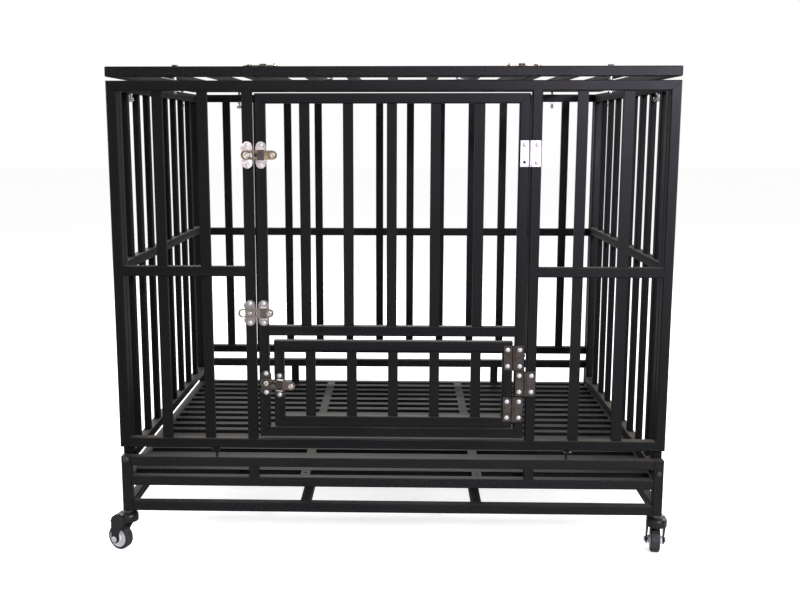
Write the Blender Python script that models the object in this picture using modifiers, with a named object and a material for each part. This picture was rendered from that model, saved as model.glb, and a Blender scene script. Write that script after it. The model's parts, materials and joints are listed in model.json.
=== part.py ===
"""Folding dog crate on swivel casters: tube panels, barred doors, butt hinges and sliding hasps.

X runs to the right, Y to the back and Z up. The origin is on the floor under the middle of the base.
Sizes are in millimetres and become metres when a solid is finished.
"""

import math

import bmesh
import bpy
from mathutils import Matrix, Vector

MM = 0.001

# tube and bar
TUBE = 19.0
BAR_WIDE = 19.0
BAR_DEEP = 10.0
EDGE = 1.6
INSET = 0.2
GAP = 0.3

# outside of the frame
HALF_W = 533.5
HALF_D = 381.0
STILE_X = HALF_W - TUBE / 2
RAIL_Y = HALF_D - TUBE / 2

# heights of the base rails
LOW_Z = 86.7
MIDDLE_Z = 139.4
FRONT_RAIL_Z = 179.6
BACK_RAIL_Z = 201.3
TRAY_RAIL_X = 171.0
POST_X = 270.5

# floor
SLAT_PITCH = 43.7
SLATS = 16

# fold pivots, each one tube above the last
RIGHT_PIVOT_Z = 172.5
LEFT_PIVOT_Z = 192.5
FRONT_PIVOT_Z = 212.5
BACK_PIVOT_Z = 232.5
BASE_LUG_X = 342.5
PANEL_LUG_X = 346.0
LUG_THICK = 2.8
LUG_R = 5.0
PIVOT_R = 2.2

# panels
FRONT_FOOT_Z = 218.5
BACK_FOOT_Z = 239.7
PANEL_TOP_Z = 927.3
CROSS_Z = 559.4
SIDE_CROSS_Z = 566.0
SIDE_HALF = 361.0
BACK_PITCH = 80.6
SIDE_PITCH = 88.0
FRONT_BARS_X = (-439.5, -355.0, 355.0, 439.5)

# lid
LID_Z = 934.0
HEADER_Y = 135.0
BOLTS = ((-404.0, -RAIL_Y), (404.0, -RAIL_Y), (-408.0, RAIL_Y), (408.0, RAIL_Y),
         (-STILE_X, -247.0), (-STILE_X, 217.0), (STILE_X, -247.0), (STILE_X, 217.0))

# doors
DOOR_X = (-255.6, 257.2)
DOOR_Z = (243.0, 904.0)
DOOR_CROSS_Z = 444.0
DOOR_PITCH = 82.0
SMALL_X = (-226.6, 234.2)
SMALL_Z = (265.0, 434.0)
SMALL_PITCH = 80.0
DOOR_BARS = range(-2, 3)
TOP_DOOR_X = 256.0
TOP_DOOR_Y = (-357.0, 130.0)

# butt hinges
PIN_OUT = 3.2
PIN_R = 1.5
KNUCKLE_R = 2.9
LEAF_END = 19.0
LEAF_LONG = 48.6
MAIN_PIN_X = 259.1
SMALL_PIN_X = 236.2
TOP_PIN_Y = 132.5

# sliding hasps
HASP_SPAN = 26.0
HASP_TRAVEL = 11.3
HASP_TILT = math.radians(7.2)
PLATE_R = 10.0
PLATE_HALF = 25.4
STRAP_HALF = 5.6
ARM_R = 8.6
ARM_LOW = -3.2
ARM_LONG = 48.2
RING_U = -1.6
RING_R = 6.5
SLOT_R = 3.6
SLOT_LONG = 22.5

# casters
CASTER_X = 526.0
WHEEL_R = 25.0
WHEEL_WIDE = 19.0
TRAIL = 22.0
WHEEL_SIDES = 20
CASTERS = {"front_left": (-1, -1, 155.0), "front_right": (1, -1, 80.0),
           "rear_left": (-1, 1, -75.0), "rear_right": (1, 1, 25.0)}

# surface colours, roughness and metallic value
BLACK = ((0.012, 0.012, 0.014), 0.42, 0.0)
ZINC = ((0.56, 0.55, 0.56), 0.32, 1.0)
BRASSY = ((0.46, 0.40, 0.30), 0.34, 1.0)
DARK = ((0.02, 0.021, 0.024), 0.5, 0.0)
TREAD = ((0.075, 0.077, 0.082), 0.75, 0.0)

FRONT = Matrix(((1, 0, 0), (0, 0, -1), (0, 1, 0)))
TOP = Matrix.Identity(3)


def frame_of(rotation, origin):
    """A matrix that carries a local shape's u, v and n to the crate, in millimetres."""
    return Matrix.Translation(Vector(origin)) @ rotation.to_4x4()


def put(name, mesh, matrix=None):
    """Link a mesh into the crate as an object, moved by a matrix first."""
    if matrix is not None:
        mesh.transform(matrix)
    body = bpy.data.objects.new(name, mesh)
    crate.objects.link(body)
    return body


def evaluated(body):
    """Swap an object for a mesh object with its modifiers or curve settings applied."""
    graph = bpy.context.evaluated_depsgraph_get()
    mesh = bpy.data.meshes.new_from_object(body.evaluated_get(graph))
    name = body.name
    bpy.data.objects.remove(body)
    return put(name, mesh)


def bevel_edges(bm, width, chosen, segments=1):
    """Take off the edges that a test picks."""
    edges = [e for e in bm.edges if chosen(e)]
    bmesh.ops.bevel(bm, geom=edges, offset=width, segments=segments, affect="EDGES", clamp_overlap=True)


def along(edge, axis):
    """Whether an edge runs along the given axis."""
    run = (edge.verts[0].co - edge.verts[1].co).normalized()
    return abs(run[axis]) > 0.999


def beam(bm, low, high, axis=None, edge=EDGE):
    """A bar between two box corners, with its four long edges taken off."""
    size = [b - a for a, b in zip(low, high)]
    axis = size.index(max(size)) if axis is None else axis
    piece = bmesh.new()
    middle = Matrix.Translation([(a + b) / 2 for a, b in zip(low, high)])
    bmesh.ops.create_cube(piece, size=1.0, matrix=middle @ Matrix.Diagonal((*size, 1.0)))
    if edge:
        bevel_edges(piece, edge, lambda e: along(e, axis))
    merge(bm, piece)


def cylinder(bm, centre, radius, low, high, axis, sides=16, radius_high=None):
    """A round bar along one axis, from low to high."""
    piece = bmesh.new()
    turn = {0: Matrix.Rotation(math.pi / 2, 4, "Y"), 1: Matrix.Rotation(-math.pi / 2, 4, "X"), 2: Matrix.Identity(4)}
    point = Vector(centre)
    point[axis] = (low + high) / 2
    bmesh.ops.create_cone(piece, cap_ends=True, segments=sides, radius1=radius,
                          radius2=radius if radius_high is None else radius_high, depth=high - low,
                          matrix=Matrix.Translation(point) @ turn[axis])
    merge(bm, piece)


def merge(bm, piece):
    """Add one bmesh to another and free it."""
    mesh = bpy.data.meshes.new("piece")
    piece.to_mesh(mesh)
    piece.free()
    bm.from_mesh(mesh)
    bpy.data.meshes.remove(mesh)


def mitred_frame(bm, low, high, normal, edge=EDGE):
    """A rectangle of tube with mitred corners: a block, pierced by an inset, with its edges taken off."""
    size = [b - a for a, b in zip(low, high)]
    piece = bmesh.new()
    middle = Matrix.Translation([(a + b) / 2 for a, b in zip(low, high)])
    bmesh.ops.create_cube(piece, size=1.0, matrix=middle @ Matrix.Diagonal((*size, 1.0)))
    piece.normal_update()
    faces = [f for f in piece.faces if abs(f.normal[normal]) > 0.9]
    bmesh.ops.inset_individual(piece, faces=faces, thickness=TUBE, use_even_offset=True)
    rims = [e for f in faces for e in f.edges]
    bmesh.ops.delete(piece, geom=faces, context="FACES_ONLY")
    bmesh.ops.bridge_loops(piece, edges=rims)
    bevel_edges(piece, edge, lambda e: not along(e, normal) and e.calc_face_angle(0.0) > 0.5)
    merge(bm, piece)


def boolean(body, tool, operation):
    """Join or cut one closed solid by another with the exact solver."""
    step = body.modifiers.new(operation.lower(), "BOOLEAN")
    step.operation = operation
    step.solver = "EXACT"
    step.object = tool
    result = evaluated(body)
    mesh = tool.data
    bpy.data.objects.remove(tool)
    bpy.data.meshes.remove(mesh)
    return result


def solid(name, *builders):
    """A body from steps that each add solids to a bmesh. The first is the base and the others join it."""
    body = None
    for build in builders:
        bm = bmesh.new()
        build(bm)
        bmesh.ops.recalc_face_normals(bm, faces=bm.faces)
        mesh = bpy.data.meshes.new(name)
        bm.to_mesh(mesh)
        bm.free()
        tool = put(name, mesh)
        body = tool if body is None else boolean(body, tool, "UNION")
    return body


def bored(body, *builders):
    """Cut the solids that each step adds out of a body."""
    for build in builders:
        body = boolean(body, solid("bore", build), "DIFFERENCE")
    return body


def arc(centre, radius, start, end, steps):
    """Points round part of a circle, both ends included, with angles in degrees."""
    turns = [math.radians(start + (end - start) * i / steps) for i in range(steps + 1)]
    return [(centre[0] + radius * math.cos(t), centre[1] + radius * math.sin(t)) for t in turns]


def sheet(name, outlines, low, high):
    """Flat stock cut to one outline, with any further outlines as holes, from low to high."""
    curve = bpy.data.curves.new(name, "CURVE")
    curve.dimensions = "2D"
    curve.fill_mode = "BOTH"
    curve.extrude = (high - low) / 2
    for outline in outlines:
        line = curve.splines.new("POLY")
        line.points.add(len(outline) - 1)
        for point, (u, v) in zip(line.points, outline):
            point.co = (u, v, 0.0, 1.0)
        line.use_cyclic_u = True
    body = evaluated(put(name, curve))
    body.data.transform(Matrix.Translation((0.0, 0.0, (low + high) / 2)))
    weld(body, 0.001)
    return body


def turned(name, profile, sides=24, closed=False):
    """A turned solid: a profile of radius and height, given down its outer side, swept by a Screw modifier."""
    bm = bmesh.new()
    points = [bm.verts.new((r, 0.0, z)) for r, z in profile]
    pairs = list(zip(points, points[1:]))
    if closed:
        pairs.append((points[-1], points[0]))
    for pair in pairs:
        bm.edges.new(pair)
    mesh = bpy.data.meshes.new(name)
    bm.to_mesh(mesh)
    bm.free()
    body = put(name, mesh)
    sweep = body.modifiers.new("sweep", "SCREW")
    sweep.axis = "Z"
    sweep.steps = sides
    sweep.render_steps = sides
    sweep.use_merge_vertices = True
    sweep.merge_threshold = 0.0001
    body = evaluated(body)
    weld(body, 0.0001)
    return body


def weld(body, distance):
    """Close a mesh's seams and point its faces outward."""
    bm = bmesh.new()
    bm.from_mesh(body.data)
    bmesh.ops.remove_doubles(bm, verts=bm.verts, dist=distance)
    bmesh.ops.recalc_face_normals(bm, faces=bm.faces)
    bm.to_mesh(body.data)
    bm.free()


def paint(name, surface):
    """One sub-part's own material."""
    colour, roughness, metallic = surface
    material = bpy.data.materials.new(name)
    material.use_nodes = True
    shader = material.node_tree.nodes["Principled BSDF"]
    shader.inputs["Base Color"].default_value = (*colour, 1.0)
    shader.inputs["Roughness"].default_value = roughness
    shader.inputs["Metallic"].default_value = metallic
    return material


def finish(name, body, surface, pivot=(0.0, 0.0, 0.0), matrix=None):
    """Name a body, turn it to metres, put its origin on its pivot and give it its material."""
    if matrix is not None:
        body.data.transform(matrix)
    weld(body, 0.002)
    body.data.transform(Matrix.Scale(MM, 4) @ Matrix.Translation(-Vector(pivot)))
    body.location = Vector(pivot) * MM
    body.name = name
    body.data.name = name
    body.data.materials.clear()
    body.data.materials.append(paint(name, surface))
    body.data.shade_smooth()
    body.data.set_sharp_from_angle(angle=math.radians(35.0))
    return body


def bar_y(bm, x, y, low, high):
    """An upright flat bar of a panel that faces front or back."""
    beam(bm, (x - BAR_WIDE / 2, y - BAR_DEEP / 2, low), (x + BAR_WIDE / 2, y + BAR_DEEP / 2, high), 2, 0.0)


def post_y(bm, x, y, low, high):
    """An upright tube of a panel that faces front or back."""
    half = TUBE / 2 - INSET
    beam(bm, (x - TUBE / 2, y - half, low), (x + TUBE / 2, y + half, high), 2)


def cross_y(bm, y, low_x, high_x, z, inset=2 * INSET):
    """A level tube of a panel that faces front or back."""
    half = TUBE / 2 - inset
    beam(bm, (low_x, y - half, z), (high_x, y + half, z + TUBE), 0)


def nuts(bm, chosen):
    """Nut ends of the lid bolts under a panel's top rail."""
    under = PANEL_TOP_Z - TUBE
    for x, y in chosen:
        cylinder(bm, (x, y, 0.0), 4.2, under - 3.7, under + 1.0, 2, 6)


def make_front_panel():
    """Frame with four bars, two door posts and a mid rail on each side of the doorway."""
    foot, top = FRONT_FOOT_Z, PANEL_TOP_Z
    y = -RAIL_Y

    def frame(bm):
        mitred_frame(bm, (-HALF_W, -HALF_D, foot), (HALF_W, -HALF_D + TUBE, top), 1)

    def uprights(bm):
        for x in FRONT_BARS_X:
            bar_y(bm, x, y, foot + TUBE / 2, top - TUBE / 2)
        for x in (-POST_X, POST_X):
            post_y(bm, x, y, foot + TUBE / 2, top - TUBE / 2)

    def crosses(bm):
        cross_y(bm, y, -STILE_X, -POST_X, CROSS_Z)
        cross_y(bm, y, POST_X, STILE_X, CROSS_Z)

    def small_parts(bm):
        nuts(bm, BOLTS[:2])
        lug_plates(bm, y, FRONT_PIVOT_Z, foot + 1.0, PANEL_LUG_X)

    body = solid("front_panel", frame, uprights, crosses, small_parts,
                 lambda bm: lug_ends(bm, y, FRONT_PIVOT_Z, PANEL_LUG_X))
    body = bored(body, lambda bm: lug_bores(bm, y, FRONT_PIVOT_Z))
    finish("front_panel", body, BLACK, (0.0, y, FRONT_PIVOT_Z))


def lug_span(side, inner):
    """Where a pivot lug starts and ends along X, on one side."""
    return sorted((side * inner, side * (inner + LUG_THICK)))


def lug_plates(bm, y, pivot_z, edge_z, inner):
    """A pair of pivot lugs, mirrored left and right, that reach from a rail to the pivot."""
    low, high = sorted((pivot_z, edge_z))
    for side in (-1, 1):
        start, end = lug_span(side, inner)
        beam(bm, (start, y - LUG_R + 0.1, low), (end, y + LUG_R - 0.1, high), 2, 0.0)


def lug_ends(bm, y, pivot_z, inner):
    """The round ends of a pair of pivot lugs."""
    for side in (-1, 1):
        cylinder(bm, (0.0, y, pivot_z), LUG_R, *lug_span(side, inner), 0, 12)


def lug_bores(bm, y, pivot_z):
    """Clearance holes for the pivot pins through a panel's lugs."""
    for side in (-1, 1):
        low, high = lug_span(side, PANEL_LUG_X)
        cylinder(bm, (0.0, y, pivot_z), PIVOT_R + 0.6, low - 1.0, high + 1.0, 0, 10)


def pivot_heads(bm, y, pivot_z):
    """A head inboard and a nut outboard on each pivot pin, fixed in the base's lugs."""
    outer = PANEL_LUG_X + LUG_THICK + 0.4
    for radius, low, high in ((4.8, BASE_LUG_X - 3.1, BASE_LUG_X + 0.2), (4.4, outer, outer + 3.8)):
        for side in (-1, 1):
            cylinder(bm, (0.0, y, pivot_z), radius, *sorted((side * low, side * high)), 0, 6)


def pivot_shanks(bm, y, pivot_z):
    """The plain lengths of the pivot pins."""
    for side in (-1, 1):
        span = sorted((side * (BASE_LUG_X - 1.5), side * (PANEL_LUG_X + LUG_THICK + 2.0)))
        cylinder(bm, (0.0, y, pivot_z), PIVOT_R, *span, 0, 8)


def make_back_panel():
    """Frame with twelve bars and one mid rail, standing one tube higher than the front."""
    foot, top, y = BACK_FOOT_Z, PANEL_TOP_Z, RAIL_Y

    def frame(bm):
        mitred_frame(bm, (-HALF_W, HALF_D - TUBE, foot), (HALF_W, HALF_D, top), 1)

    def uprights(bm):
        for n in range(12):
            bar_y(bm, (n - 5.5) * BACK_PITCH, y, foot + TUBE / 2, top - TUBE / 2)

    def small_parts(bm):
        nuts(bm, BOLTS[2:4])
        lug_plates(bm, y, BACK_PIVOT_Z, foot + 1.0, PANEL_LUG_X)

    body = solid("back_panel", frame, uprights, lambda bm: cross_y(bm, y, -STILE_X, STILE_X, CROSS_Z), small_parts,
                 lambda bm: lug_ends(bm, y, BACK_PIVOT_Z, PANEL_LUG_X))
    body = bored(body, lambda bm: lug_bores(bm, y, BACK_PIVOT_Z))
    finish("back_panel", body, BLACK, (0.0, y, BACK_PIVOT_Z))


def make_side_panel(name, side, pivot_z):
    """Frame with seven bars and one mid rail, nested between the front and back panels."""
    foot, top, x = pivot_z - TUBE / 2, PANEL_TOP_Z, side * STILE_X

    def frame(bm):
        mitred_frame(bm, (x - TUBE / 2, -SIDE_HALF, foot), (x + TUBE / 2, SIDE_HALF, top), 0)

    def uprights(bm):
        for n in range(-3, 4):
            y = n * SIDE_PITCH
            beam(bm, (x - BAR_DEEP / 2, y - BAR_WIDE / 2, foot + TUBE / 2),
                 (x + BAR_DEEP / 2, y + BAR_WIDE / 2, top - TUBE / 2), 2, 0.0)

    def cross(bm):
        half = TUBE / 2 - INSET
        end = SIDE_HALF - TUBE / 2
        beam(bm, (x - half, -end, SIDE_CROSS_Z), (x + half, end, SIDE_CROSS_Z + TUBE), 1)

    chosen = BOLTS[4:6] if side < 0 else BOLTS[6:8]
    body = solid(name, frame, uprights, cross, lambda bm: nuts(bm, chosen))

    def pivot_holes(bm):
        for low, high in ((-SIDE_HALF - 1.0, -SIDE_HALF + 9.0), (SIDE_HALF - 9.0, SIDE_HALF + 1.0)):
            cylinder(bm, (x, 0.0, pivot_z), 3.5, low, high, 1, 12)

    body = bored(body, pivot_holes)
    finish(name, body, BLACK, (x, 0.0, pivot_z))


def make_side_pivots():
    """The four bolts that the side panels turn on, through the corner posts."""
    for side, label, z in ((-1, "left", LEFT_PIVOT_Z), (1, "right", RIGHT_PIVOT_Z)):
        for face, where in ((-1, "front"), (1, "rear")):
            name = f"{label}_pivot_bolt_{where}"
            head = HALF_D + GAP
            profile = [(0.0, 3.6), (4.0, 3.2), (6.0, 1.6), (6.0, 0.0), (3.0, 0.0), (3.0, -27.0), (0.0, -27.0)]
            body = turned(name, profile, 10)
            out = Matrix.Rotation(math.pi / 2 * -face, 4, "X")
            place = Matrix.Translation((side * STILE_X, face * head, z)) @ out
            finish(name, body, ZINC, (side * STILE_X, face * head, z), place)


def make_base():
    """Front and back ladders between corner posts, low rails, side rails, and two tray rails."""
    inner = STILE_X - TUBE / 2 - GAP
    for name, y, top_rail, pivot_z in (("base_front_frame", -RAIL_Y, FRONT_RAIL_Z, FRONT_PIVOT_Z),
                                       ("base_back_frame", RAIL_Y, BACK_RAIL_Z, BACK_PIVOT_Z)):

        def rails(bm):
            for z in (MIDDLE_Z, top_rail):
                cross_y(bm, y, -inner, inner, z, 0.0)

        def posts(bm):
            for x in (-POST_X, POST_X):
                post_y(bm, x, y, MIDDLE_Z + TUBE / 2, top_rail + TUBE / 2)

        body = solid(name, rails, posts, lambda bm: lug_plates(bm, y, pivot_z, top_rail + TUBE - 1.0, BASE_LUG_X),
                     lambda bm: lug_ends(bm, y, pivot_z, BASE_LUG_X), lambda bm: pivot_shanks(bm, y, pivot_z),
                     lambda bm: pivot_heads(bm, y, pivot_z))
        finish(name, body, BLACK)

    for name, y in (("base_front_low_rail", -RAIL_Y), ("base_back_low_rail", RAIL_Y)):
        finish(name, solid(name, lambda bm: cross_y(bm, y, -inner, inner, LOW_Z, 0.0)), BLACK)

    for name, side, pivot_z in (("base_left_frame", -1, LEFT_PIVOT_Z), ("base_right_frame", 1, RIGHT_PIVOT_Z)):
        x = side * STILE_X

        def posts(bm):
            for y, top in ((-RAIL_Y, FRONT_RAIL_Z + TUBE), (RAIL_Y, BACK_RAIL_Z + TUBE)):
                beam(bm, (x - TUBE / 2, y - TUBE / 2, LOW_Z), (x + TUBE / 2, y + TUBE / 2, top), 2)

        def rails(bm):
            half = TUBE / 2 - INSET
            for z in (LOW_Z, MIDDLE_Z):
                beam(bm, (x - half, -RAIL_Y, z + INSET), (x + half, RAIL_Y, z + TUBE - INSET), 1)

        def holes(bm):
            for y in (-RAIL_Y, RAIL_Y):
                cylinder(bm, (x, 0.0, pivot_z), 3.4, y - TUBE, y + TUBE, 1, 12)

        body = bored(solid(name, posts, rails), holes)
        finish(name, body, BLACK)

    for name, side in (("tray_rail_left", -1), ("tray_rail_right", 1)):
        x, end = side * TRAY_RAIL_X, RAIL_Y - TUBE / 2 - GAP
        body = solid(name, lambda bm: beam(bm, (x - TUBE / 2, -end, LOW_Z), (x + TUBE / 2, end, LOW_Z + TUBE), 1))
        body = bored(body, lambda bm: cylinder(bm, (x, -end + 14.0, 0.0), 3.0, LOW_Z - 5.0, LOW_Z + TUBE + 5.0, 2, 12))
        finish(name, body, BLACK)


def make_floor():
    """Slats across the crate on two tie bars, level with the top of the middle ring."""
    end_x, end_y = STILE_X - TUBE / 2 - GAP, RAIL_Y - TUBE / 2 - GAP
    top = MIDDLE_Z + TUBE

    def slats(bm):
        for n in range(SLATS):
            y = (n - (SLATS - 1) / 2) * SLAT_PITCH
            beam(bm, (-end_x, y - BAR_WIDE / 2, top - BAR_DEEP), (end_x, y + BAR_WIDE / 2, top), 0, 0.0)

    def ties(bm):
        for x in (-TRAY_RAIL_X, TRAY_RAIL_X):
            beam(bm, (x - TUBE / 2, -end_y, MIDDLE_Z), (x + TUBE / 2, end_y, top - INSET), 1, 0.0)

    def bolt_holes(bm):
        for x in (-TRAY_RAIL_X, TRAY_RAIL_X):
            cylinder(bm, (x, -end_y + 12.0, 0.0), 3.0, MIDDLE_Z - 5.0, top + 5.0, 2, 12)

    finish("floor_grate", bored(solid("floor_grate", slats, ties), bolt_holes), BLACK)


def make_lid():
    """Lid frame with bars, two posts and a header that leave an opening for the top door, and its bolts."""
    low, high = LID_Z, LID_Z + TUBE
    bar_low = LID_Z + (TUBE - BAR_DEEP) / 2

    def frame(bm):
        mitred_frame(bm, (-HALF_W, -HALF_D, low), (HALF_W, HALF_D, high), 2)

    def lengthwise(bm):
        for x in FRONT_BARS_X:
            beam(bm, (x - BAR_WIDE / 2, -RAIL_Y, bar_low), (x + BAR_WIDE / 2, RAIL_Y, bar_low + BAR_DEEP), 1, 0.0)
        for n in DOOR_BARS:
            x = n * DOOR_PITCH
            beam(bm, (x - BAR_WIDE / 2, HEADER_Y + TUBE / 2, bar_low),
                 (x + BAR_WIDE / 2, RAIL_Y, bar_low + BAR_DEEP), 1, 0.0)
        for x in (-POST_X, POST_X):
            beam(bm, (x - TUBE / 2, -RAIL_Y, low + INSET), (x + TUBE / 2, RAIL_Y, high - INSET), 1)

    def header(bm):
        beam(bm, (-POST_X, HEADER_Y, low + 2 * INSET), (POST_X, HEADER_Y + TUBE, high - 2 * INSET), 0)

    def bolts(bm):
        for x, y in BOLTS:
            cylinder(bm, (x, y, 0.0), 5.6, high - 1.0, high + 2.6, 2, 6)
            cylinder(bm, (x, y, 0.0), 3.4, PANEL_TOP_Z + GAP, low + 1.0, 2, 8)

    finish("lid", solid("lid", frame, lengthwise, header, bolts), BLACK)


def make_doors():
    """The main door, the small door in its foot and the top door in the lid."""
    y = -RAIL_Y
    low, high = DOOR_Z

    def frame(bm):
        mitred_frame(bm, (DOOR_X[0], -HALF_D, low), (DOOR_X[1], -HALF_D + TUBE, high), 1)

    def uprights(bm):
        for n in DOOR_BARS:
            bar_y(bm, sum(DOOR_X) / 2 + n * DOOR_PITCH, y, DOOR_CROSS_Z + TUBE / 2, high - TUBE / 2)

    def cross(bm):
        cross_y(bm, y, DOOR_X[0] + TUBE / 2, DOOR_X[1] - TUBE / 2, DOOR_CROSS_Z, INSET)

    finish("main_door", solid("main_door", frame, uprights, cross), BLACK, (MAIN_PIN_X, -HALF_D - PIN_OUT, 0.0))

    def small_frame(bm):
        mitred_frame(bm, (SMALL_X[0], -HALF_D, SMALL_Z[0]), (SMALL_X[1], -HALF_D + TUBE, SMALL_Z[1]), 1)

    def small_uprights(bm):
        for n in DOOR_BARS:
            bar_y(bm, sum(SMALL_X) / 2 + n * SMALL_PITCH, y, SMALL_Z[0] + TUBE / 2, SMALL_Z[1] - TUBE / 2)

    finish("small_door", solid("small_door", small_frame, small_uprights), BLACK,
           (SMALL_PIN_X, -HALF_D - PIN_OUT, 0.0))

    bar_low = LID_Z + (TUBE - BAR_DEEP) / 2

    def top_frame(bm):
        mitred_frame(bm, (-TOP_DOOR_X, TOP_DOOR_Y[0], LID_Z), (TOP_DOOR_X, TOP_DOOR_Y[1], LID_Z + TUBE), 2)

    def top_bars(bm):
        for n in DOOR_BARS:
            x = n * DOOR_PITCH
            beam(bm, (x - BAR_WIDE / 2, TOP_DOOR_Y[0] + TUBE / 2, bar_low),
                 (x + BAR_WIDE / 2, TOP_DOOR_Y[1] - TUBE / 2, bar_low + BAR_DEEP), 1, 0.0)

    finish("top_door", solid("top_door", top_frame, top_bars), BLACK, (0.0, TOP_PIN_Y, LID_Z + TUBE + PIN_OUT))


def make_hinge(name, rotation, origin, pivot, surface, open_hole=False):
    """A butt hinge: a fixed leaf with two knuckles and the pin, and a moving leaf with the middle knuckle."""
    place = frame_of(rotation, origin)
    half = LEAF_LONG / 2
    low, high = GAP, GAP + 1.8
    inner = KNUCKLE_R + 0.4
    knuckle = half / 3

    def fixed_leaf(bm):
        beam(bm, (inner, -half, low), (LEAF_END, half, high), 1, 0.0)

    def fixed_webs(bm):
        for start, end in ((-half, -knuckle - GAP / 2), (knuckle + GAP / 2, half)):
            beam(bm, (0.0, start, low), (inner + 1.0, end, high), 1, 0.0)

    inside = knuckle + GAP / 2
    profile = [(0.0, half + 0.8), (PIN_R, half + 0.8), (KNUCKLE_R, half), (KNUCKLE_R, inside), (PIN_R, inside),
               (PIN_R, -inside), (KNUCKLE_R, -inside), (KNUCKLE_R, -half), (PIN_R, -half - 0.8), (0.0, -half - 0.8)]
    barrel = turned(name, profile, 10)
    barrel.data.transform(Matrix.Translation((0.0, 0.0, PIN_OUT)) @ Matrix.Rotation(math.pi / 2, 4, "X"))
    body = boolean(solid(name, fixed_leaf, fixed_webs), barrel, "UNION")
    finish(f"{name}_fixed_leaf", body, surface, pivot, place)

    def moving_leaf(bm):
        beam(bm, (-LEAF_END, -half, low), (-inner, half, high), 1, 0.0)

    def moving_web(bm):
        beam(bm, (-inner - 1.0, -knuckle + GAP / 2, low), (0.0, knuckle - GAP / 2, high), 1, 0.0)

    def moving_knuckle(bm):
        cylinder(bm, (0.0, 0.0, PIN_OUT), KNUCKLE_R, -knuckle + GAP / 2, knuckle - GAP / 2, 1, 12)

    body = solid(name, moving_leaf, moving_web, moving_knuckle)
    body = bored(body, lambda bm: cylinder(bm, (0.0, 0.0, PIN_OUT), 1.9, -knuckle - 1.0, knuckle + 1.0, 1, 12))
    if open_hole:
        body = bored(body, lambda bm: cylinder(bm, (-11.5, -16.0, 0.0), 2.4, 0.0, 5.0, 2, 10))
    finish(f"{name}_moving_leaf", body, surface, pivot, place)


def stadium(half_long, radius, steps=5):
    """Outline of a plate with round ends, long in v."""
    upper = arc((0.0, half_long - radius), radius, 0.0, 180.0, steps)
    lower = arc((0.0, radius - half_long), radius, 180.0, 360.0, steps)
    return upper + lower


def make_hasp(name, rotation, origin, surface, tilt=0.0, slid=0.0, head=4.6, drop=0.0):
    """A sliding hasp: a keeper plate with a stud, a door plate with a bridge, and the keyhole arm that slides.

    The local origin is the stud. The arm runs along u, and slid is how far it stands towards the keeper side.
    """
    place = frame_of(rotation, origin)
    lean = place @ Matrix.Rotation(-tilt, 4, "Z")
    low, high = GAP, GAP + 2.0
    arm_low, arm_high = high + GAP, high + GAP + 2.2

    keeper = sheet(name, [stadium(PLATE_HALF, PLATE_R)], low, high)

    def ears(bm):
        for start, end in ((-19.0, -10.5), (10.5, 19.0)):
            beam(bm, (-12.0, start, low + 0.1), (-7.0, end, high - 0.1), 1, 0.0)

    def stud(bm):
        cylinder(bm, (0.0, 0.0, 0.0), 2.6, high - 0.5, arm_high + 1.0, 2, 10)

    def stud_head(bm):
        cylinder(bm, (0.0, 0.0, 0.0), head, arm_high + GAP, arm_high + GAP + 2.2, 2, 12, head - 0.5)

    for step in (ears, stud, stud_head):
        keeper = boolean(keeper, solid(name, step), "UNION")
    finish(f"{name}_keeper", keeper, surface, origin, place)

    plate = sheet(name, [stadium(PLATE_HALF, PLATE_R)], low, high)
    plate.data.transform(Matrix.Translation((HASP_SPAN, drop, 0.0)))
    plate.data.transform(Matrix.Rotation(tilt, 4, "Z"))

    foot, under, crown = high - 0.5, arm_high + GAP, arm_high + GAP + 2.0
    strap = sheet(name, [[(12.8, foot), (12.8, high + 0.7), (8.2, crown), (-8.2, crown), (-12.8, high + 0.7),
                          (-12.8, foot), (-9.0, foot), (-9.0, under), (9.0, under), (9.0, foot)]],
                  HASP_SPAN - STRAP_HALF, HASP_SPAN + STRAP_HALF)
    strap.data.transform(Matrix(((0, 0, 1, 0), (1, 0, 0, 0), (0, 1, 0, 0), (0, 0, 0, 1))))
    plate = boolean(plate, strap, "UNION")
    finish(f"{name}_plate", plate, surface, origin, lean)

    outline = arc((ARM_LOW, 0.0), ARM_R, 90.0, 270.0, 7) + arc((ARM_LONG, 0.0), ARM_R, -90.0, 90.0, 7)
    meet = math.degrees(math.asin(SLOT_R / RING_R))
    keyhole = arc((RING_U, 0.0), RING_R, meet, 360.0 - meet, 9) + arc((SLOT_LONG, 0.0), SLOT_R, -90.0, 90.0, 4)
    arm = sheet(name, [outline, keyhole], arm_low, arm_high)

    def knob(bm):
        cylinder(bm, (ARM_LONG, 0.0, 0.0), 4.8, arm_high - 0.5, arm_high + 3.4, 2, 12, 4.3)

    arm = boolean(arm, solid(name, knob), "UNION")
    arm.data.transform(Matrix.Translation((-slid, 0.0, 0.0)))
    finish(f"{name}_arm", arm, surface, origin, lean)


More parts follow.
